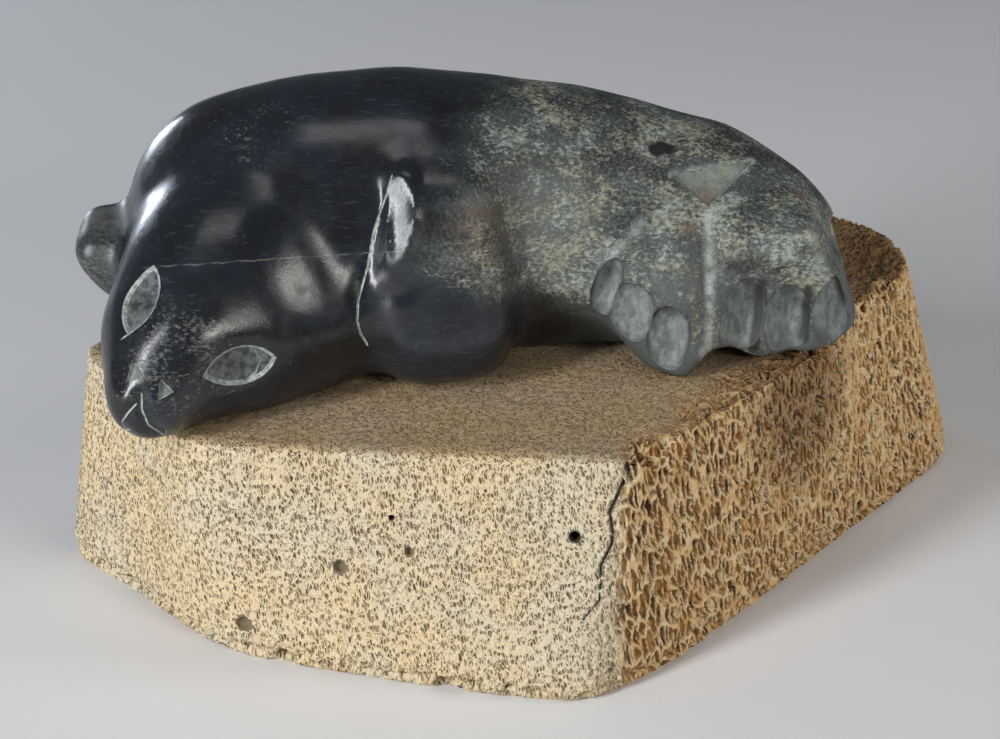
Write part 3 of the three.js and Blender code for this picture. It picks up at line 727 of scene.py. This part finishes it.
colour = blend(tree, tail_rust, colour, (0.22, 0.14, 0.08, 1))
# Painted shade under the rims of the cuts, as on the polished skin.
colour = place(tree, "ShaderNodeGroup", {"Color": colour}, node_tree=painted_shade_group).outputs["Color"]
tree.links.new(colour, shader.inputs["Base Color"])
bump = place(tree, "ShaderNodeBump", {"Height": file_marks, "Distance": 0.08 * MM, "Strength": 0.5})
tree.links.new(bump.outputs[0], shader.inputs["Normal"])

# Chalky dust in fresh scratches and on the rims of the eyes.
scratched, tree, shader, spot = soapstone("scratched_soapstone")
shader.inputs["Roughness"].default_value = 0.7
chalk = noise(tree, spot, 1.2 * MM, 4, 0.6)
colour = blend(tree, ramp(tree, chalk, 0.35, 0.65), (0.17, 0.19, 0.18, 1), (0.42, 0.46, 0.43, 1))
tree.links.new(colour, shader.inputs["Base Color"])

# Eyeballs: rubbed stone, darker where the pupil would be.
eyeball, tree, shader, spot = soapstone("eye_soapstone")
shader.inputs["Roughness"].default_value = 0.45
chalk = noise(tree, spot, 2.2 * MM, 4, 0.65)
colour = blend(tree, ramp(tree, chalk, 0.38, 0.62), (0.030, 0.034, 0.036, 1), (0.13, 0.145, 0.14, 1))
left_pupil, right_pupil = (
    near(tree, spot, on_skin(mark)[0], 1.2 * MM, 4.2 * MM) for mark, along, long, wide in EYES
)
pupils = sums(tree, "MAXIMUM", left_pupil, right_pupil)
pupils = sums(tree, "MULTIPLY", pupils, ramp(tree, chalk, 0.35, 0.6, 1.0, 0.5))
colour = blend(tree, sums(tree, "MULTIPLY", pupils, 0.85), colour, (0.010, 0.011, 0.012, 1))
tree.links.new(colour, shader.inputs["Base Color"])

seal.data.materials.clear()
seal.data.materials.append(polished)

# Eyes, nostrils and tail: plugs with leaning sides that end on a skin just inside the
# stone, so that each cut is as deep at its tips as in its middle.
CUT_DEPTH = 0.9 * MM
PLUG_REACH = 4 * MM
LID_RADIUS = 0.34 * MM
LID_STEPS = 16
inner_skin = seal.copy()
inner_skin.data = seal.data.copy()
bpy.context.collection.objects.link(inner_skin)
inner_skin.data.materials.clear()
inner_skin.data.materials.append(eyeball)
finish_with(inner_skin, "DISPLACE", strength=-CUT_DEPTH, mid_level=0)


def plug(frame_here, radius, offset, sides, squash=1.0, slope=0.9):
    """A cone that narrows into the stone, standing on the skin."""
    spread = slope * PLUG_REACH
    bpy.ops.object.select_all(action="DESELECT")
    bpy.ops.mesh.primitive_cone_add(
        vertices=sides, radius1=radius - spread, radius2=radius + spread, depth=2 * PLUG_REACH
    )
    made = bpy.context.object
    made.matrix_world = frame_here @ Matrix.Translation((0, offset, 0)) @ Matrix.Diagonal((1, squash, 1, 1))
    made.data.materials.append(scratched)
    return made


def sunk_to_inner_skin(tool, floor_stone):
    """Ends a tool at the inner skin, where its floor will be."""
    kept = inner_skin.copy()
    kept.data = inner_skin.data.copy()
    kept.data.materials[0] = floor_stone
    bpy.context.collection.objects.link(kept)
    cut(tool, [kept])
    return tool


sunk = []
lids = []
for mark, along, long, wide in EYES:
    spot, normal = on_skin(mark)
    here = standing_on(spot, normal, Vector(along))
    radius = (long ** 2 + wide ** 2) / (4 * wide) * MM
    offset = radius - 0.5 * wide * MM
    almond = plug(here, radius, offset, 96)
    cut(almond, [plug(here, radius, -offset, 96)], operation="INTERSECT")
    sunk.append(sunk_to_inner_skin(almond, eyeball))
    for side in (1, -1):
        lid = []
        for step in range(LID_STEPS + 1):
            over = 0.5 * long * MM * (2 * step / LID_STEPS - 1)
            up = side * (math.sqrt(radius ** 2 - over ** 2) - offset)
            hit, spot, normal, face = seal.closest_point_on_mesh(here @ Vector((over, up, 0)))
            lid.append((spot, 0.4 if step in (0, LID_STEPS) else 1))
        lids.append(tube(lid, LID_RADIUS, scratched))

# Nostrils: middle, way along, radius, sides, squash.
NOSTRILS = (
    ((-87.0, -42, 18.3), (-0.2, -0.3, -1), 3.4, 3, 0.9),
    ((-79.9, -44.3, 14.8), (-0.25, 0, -1), 3.2, 3, 0.8),
)
for mark, along, radius, sides, squash in NOSTRILS:
    spot, normal = on_skin(mark)
    here = standing_on(spot, normal, Vector(along))
    sunk.append(sunk_to_inner_skin(plug(here, radius * MM, 0, sides, squash, slope=0.5), bare))

# The tail is one flat three-cornered cut between the hind flippers.
TAIL = ((43.5, 16.1, 46.4), (64.3, 25.1, 46.7), (52.0, 7.6, 41.2))
TAIL_TOOL = 4 * MM
bpy.ops.object.select_all(action="DESELECT")
bpy.ops.mesh.primitive_cylinder_add(vertices=3, radius=1, depth=2)
tail = bpy.context.object
corners = [on_skin(mark)[0] for mark in TAIL]
out = (corners[1] - corners[0]).cross(corners[2] - corners[0]).normalized()
out = out if out.dot(FROM_FRONT) > 0 else -out
round_about = sorted(tail.data.vertices, key=lambda vertex: math.atan2(vertex.co.y, vertex.co.x))
for number, vertex in enumerate(round_about):
    vertex.co = corners[number // 2] + out * (TAIL_TOOL if vertex.co.z > 0 else -TAIL_TOOL)
bpy.ops.object.mode_set(mode="EDIT")
bpy.ops.mesh.select_all(action="SELECT")
bpy.ops.mesh.normals_make_consistent(inside=False)
bpy.ops.object.mode_set(mode="OBJECT")
tail.data.materials.append(scratched)
sunk.append(sunk_to_inner_skin(tail, bare))

# Toes: shallow bowls side by side, cut with a round-nosed scraper.
TOE_DEPTH = 2.1 * MM
SCRAPER = 4.5 * MM
SCRAPER_TIP = math.radians(9)
chord = math.sqrt(1 - ((SCRAPER - TOE_DEPTH) / SCRAPER) ** 2)
bowls = []
for mark, long, wide, lean in TOES:
    spot, normal = on_skin(mark)
    here = standing_on(spot, normal, Vector((lean, 0, 1)))
    bpy.ops.object.select_all(action="DESELECT")
    bpy.ops.mesh.primitive_uv_sphere_add(segments=56, ring_count=28, radius=1)
    bowl = bpy.context.object
    size = Matrix.Diagonal((0.5 * long * MM / chord, 0.5 * wide * MM / chord, SCRAPER, 1))
    tipped = Matrix.Rotation(SCRAPER_TIP, 4, "Y")
    bowl.matrix_world = here @ Matrix.Translation((0, 0, SCRAPER - TOE_DEPTH)) @ tipped @ size
    bowl.data.materials.append(bare)
    bowls.append(bowl)

# Lines scratched along the skin with a point: radius, how far the middle of the scratch
# stands above the skin, marks.
LINE_STEPS = 6
LINE_END = 0.3
CORNER_OF_RIGHT_EYE = ((-58.9, -32.8, 20.2), (-57.7, -32, 16.9), (-58.8, -34.5, 14.6), (-61.9, -35.7, 12.5))
CORNER_OF_LEFT_EYE = ((-86.3, -34.9, 27.7), (-87.8, -36.3, 26.7), (-90.9, -35.4, 24.0))
LINES = (
    (0.3, 0.1, MUZZLE),
    (0.28, 0.1, LIP),
    (0.35, 0.1, CREASE),
    (0.35, 0, (TAIL[0], TAIL[2])),
    (0.35, 0, (TAIL[2], TAIL[1])),
    (0.3, -0.9, CORNER_OF_RIGHT_EYE),
    (0.3, 0, CORNER_OF_LEFT_EYE),
)
lines = []
for radius, lift, marks in LINES:
    track = []
    for start, end in zip(marks, marks[1:]):
        for step in range(LINE_STEPS):
            spot, normal = on_skin(Vector(start).lerp(Vector(end), step / LINE_STEPS))
            track.append((spot + normal * lift * MM, 1))
    spot, normal = on_skin(marks[-1])
    track.append((spot + normal * lift * MM, LINE_END))
    track[0] = (track[0][0], LINE_END)
    lines.append(tube(track, radius * MM, scratched))

cut(seal, sunk + lids + bowls + lines)
bpy.data.objects.remove(inner_skin)

# Pale lines where the skin is worn: marks, full within, gone beyond, strength.
WORN = (
    (CLEFT, 0.4, 1.9, 0.8), (CREST, 0.2, 2.2, 0.5), (RIGHT_EDGE, 0.2, 2.6, 0.4),
    ((TAIL[0], TAIL[2], TAIL[1]), 0.3, 1.5, 0.8), ((TAIL[0], TAIL[1]), 0.3, 1.3, 0.6),
)
worn_line = [0.0] * len(seal.data.vertices)
for marks, inner, outer, strength in WORN:
    finder = closest_of([spot for spot, normal, far in along_marks(marks)])
    for vertex in seal.data.vertices:
        off = finder.find(vertex.co)[2] / MM
        worn_line[vertex.index] = max(worn_line[vertex.index], strength * fade(off, inner, outer))
seal.data.attributes.new("worn_line", "FLOAT", "POINT").data.foreach_set("value", worn_line)

# Painted shade lies in the bare cuts below their rims, most on walls that face down,
# and in the two gaps between the toes of the right flipper.
GAPS = (
    ((65.4, -0.6, 23.8), (65.1, 0.8, 13.6), (64.3, 2.1, 4.2)),
    ((77.4, 3.4, 20.2), (77.7, 5.0, 10.6), (77.0, 7.0, 5.0)),
)
PAINTED_SHADE_REACH = 1.9
LEAST_PAINTED_SHADE = 0.45
GAP_PAINTED_SHADE = 0.9
stones = [stone.name for stone in seal.data.materials]
bare_number = stones.index(bare.name)
skin_number = stones.index(polished.name)
touched = {}
for face in seal.data.polygons:
    for number in face.vertices:
        touched.setdefault(number, set()).add(face.material_index)
both = {bare_number, skin_number}
finder = closest_of([seal.data.vertices[number].co for number, kinds in touched.items() if both <= kinds])
painted_cut_shade = [0.0] * len(seal.data.vertices)
for face in seal.data.polygons:
    if face.material_index == bare_number:
        facing_down = max(LEAST_PAINTED_SHADE, fade(face.normal.z, -0.2, 0.3))
        for number in face.vertices:
            off = finder.find(seal.data.vertices[number].co)[2] / MM
            painted_cut_shade[number] = max(painted_cut_shade[number], facing_down * fade(off, 0.6, PAINTED_SHADE_REACH))
for marks in GAPS:
    finder = closest_of([spot for spot, normal, far in along_marks(marks)])
    for vertex in seal.data.vertices:
        off = finder.find(vertex.co)[2] / MM
        painted_cut_shade[vertex.index] = max(painted_cut_shade[vertex.index], GAP_PAINTED_SHADE * fade(off, 1.0, PAINTED_SHADE_REACH))
seal.data.attributes.new("painted_cut_shade", "FLOAT", "POINT").data.foreach_set("value", painted_cut_shade)
only(seal)
bpy.ops.object.shade_smooth_by_angle(angle=math.radians(22))
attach(seal, "root")
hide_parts("soapstone_seal")

# Studio: pale paper under the carving. A tall soft box stands on the left, a wide one hangs
# overhead, two weak warm ones stand on the right and in front, and a small cool one
# behind the head lights its rim.
bpy.ops.object.select_all(action="DESELECT")
bpy.ops.mesh.primitive_plane_add(size=6, location=(0, 0, 0))
floor = bpy.context.object
floor.name = "floor"
floor.data.materials.append(plain_stuff("studio_paper", (0.78, 0.78, 0.79, 1), 0.8))


def soft_box(name, spot, aim, width, height, watts, tint=(1, 1, 1)):
    bpy.ops.object.select_all(action="DESELECT")
    bpy.ops.object.light_add(type="AREA", location=spot)
    box = bpy.context.object
    box.name = name
    box.data.shape = "RECTANGLE"
    box.data.size = width
    box.data.size_y = height
    box.data.energy = watts
    box.data.color = tint
    box.rotation_euler = (Vector(aim) - Vector(spot)).to_track_quat("-Z", "Y").to_euler()


COOL = (0.80, 0.88, 1.0)
WARM = (1.0, 0.96, 0.90)
soft_box("key_box", (-0.85, -0.78, 0.45), (0, 0, 0.06), 0.20, 0.90, 15, (0.96, 0.98, 1.0))
soft_box("rim_box", (-0.56, 0.86, 0.15), (-0.08, 0, 0.08), 0.16, 0.22, 1.6, COOL)
soft_box("top_box", (0.0, 0.0, 1.25), (0, 0, 0.05), 0.60, 0.35, 1.2)
soft_box("right_box", (1.0, -0.09, 0.52), (0.02, 0, 0.05), 0.22, 0.28, 1.8, WARM)
soft_box("front_box", (0.62, -0.76, 0.46), (0.02, 0, 0.05), 0.34, 0.22, 3.2, WARM)

world = bpy.data.worlds.new("studio")
world.use_nodes = True
air = world.node_tree.nodes["Background"]
air.inputs["Color"].default_value = (0.62, 0.68, 0.78, 1)
air.inputs["Strength"].default_value = 0.13
bpy.context.scene.world = world
bpy.context.scene.view_settings.view_transform = "Standard"
